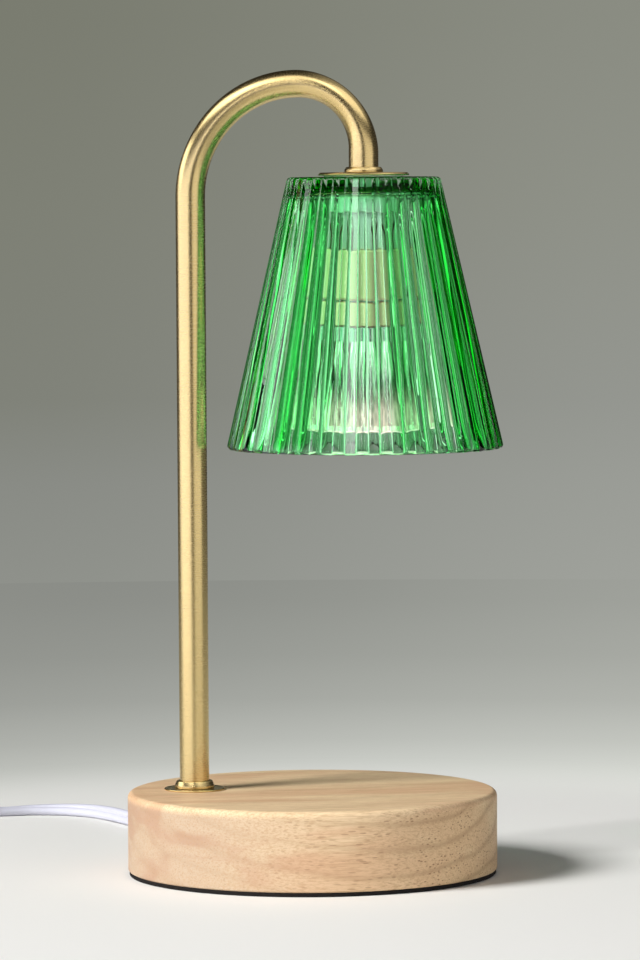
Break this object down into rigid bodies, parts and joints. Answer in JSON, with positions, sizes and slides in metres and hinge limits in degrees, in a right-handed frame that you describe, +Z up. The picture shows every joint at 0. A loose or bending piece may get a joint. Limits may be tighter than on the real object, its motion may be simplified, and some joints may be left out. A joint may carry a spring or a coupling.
{
  "type": "candle warmer lamp",
  "caption": "Table lamp that melts a scented candle from above: round wooden base, bent brass arm, ribbed green glass shade, reflector bulb, flat cord with a thumbwheel dimmer and a plug.",
  "frame": {"origin": "centre of the underside of the round base, on the table", "axes": "+X from the arm's foot to the shade's axis, +Y to the back, where the cord leaves, +Z up"},
  "size_m": [0.3636, 0.266, 0.3255],
  "materials": {
    "base_wood": "satin",
    "black_foam": "matte",
    "cast_iron": "matte",
    "steel": "brushed",
    "brass": "satin",
    "white_plastic": "matte",
    "cord_sheath": "matte",
    "grey_plastic": "matte",
    "brown_sleeve": "woven",
    "silicone": "matte",
    "green_glass": "polished",
    "clear_glass": "polished",
    "silvered_glass": "polished",
    "cream_ceramic": "glazed",
    "green_board": "matte"
  },
  "bodies": {
    "lamp": {"base_block": "base_wood", "base_pad": "black_foam", "ballast_plate": "cast_iron", "ballast_screw_1": "steel", "ballast_screw_2": "steel", "cord_relief": "white_plastic", "cord_saddle": "white_plastic", "saddle_screw_1": "steel", "saddle_screw_2": "steel", "terminal_block": "white_plastic", "terminal_screw": "steel", "terminal_tube_1": "brass", "terminal_tube_2": "brass", "flex_inside": "cord_sheath", "foot_nipple": "steel", "foot_washer": "steel", "foot_nut": "steel", "foot_flange": "brass", "foot_collar": "brass", "arm_tube": "brass", "live_lead": "brown_sleeve", "neutral_lead": "brown_sleeve", "head_collar": "brass", "head_disc": "brass", "head_nipple": "steel", "upper_gasket": "silicone", "glass_shade": "green_glass", "lower_gasket": "silicone", "clamp_cup": "steel", "shade_nut": "steel", "holder_bracket": "steel", "bracket_nut": "steel", "holder_screw_1": "steel", "holder_screw_2": "steel", "lampholder_body": "cream_ceramic", "holder_contact_1": "brass", "holder_contact_2": "brass", "cord_free": "cord_sheath", "dimmer_base": "white_plastic", "dimmer_cover": "white_plastic", "dimmer_pot": "grey_plastic", "dimmer_board": "green_board", "dimmer_screw_1": "steel", "dimmer_screw_2": "steel", "cord_link": "cord_sheath", "cord_coil": "cord_sheath", "cord_tail": "cord_sheath", "plug_body": "white_plastic", "plug_blade_live": "brass", "plug_blade_neutral": "brass"},
    "bulb": {"bulb_base": "cream_ceramic", "bulb_reflector": "silvered_glass", "bulb_lens": "clear_glass", "bulb_capsule": "clear_glass", "bulb_pin_1": "steel", "bulb_pin_2": "steel"},
    "wheel": {"dimmer_wheel": "grey_plastic", "dimmer_spindle": "steel"}
  },
  "joints": [
    {"name": "bulb_twist", "type": "hinge", "parent": "lamp", "child": "bulb", "pos_m": [0.0223, 0, 0.2316], "axis": [0, 0, -1], "range_deg": [0, 45]},
    {"name": "dimmer_turn", "type": "hinge", "parent": "lamp", "child": "wheel", "pos_m": [-0.21, 0.178, 0.0127], "axis": [0, 1, 0], "range_deg": [0, 270]}
  ]
}
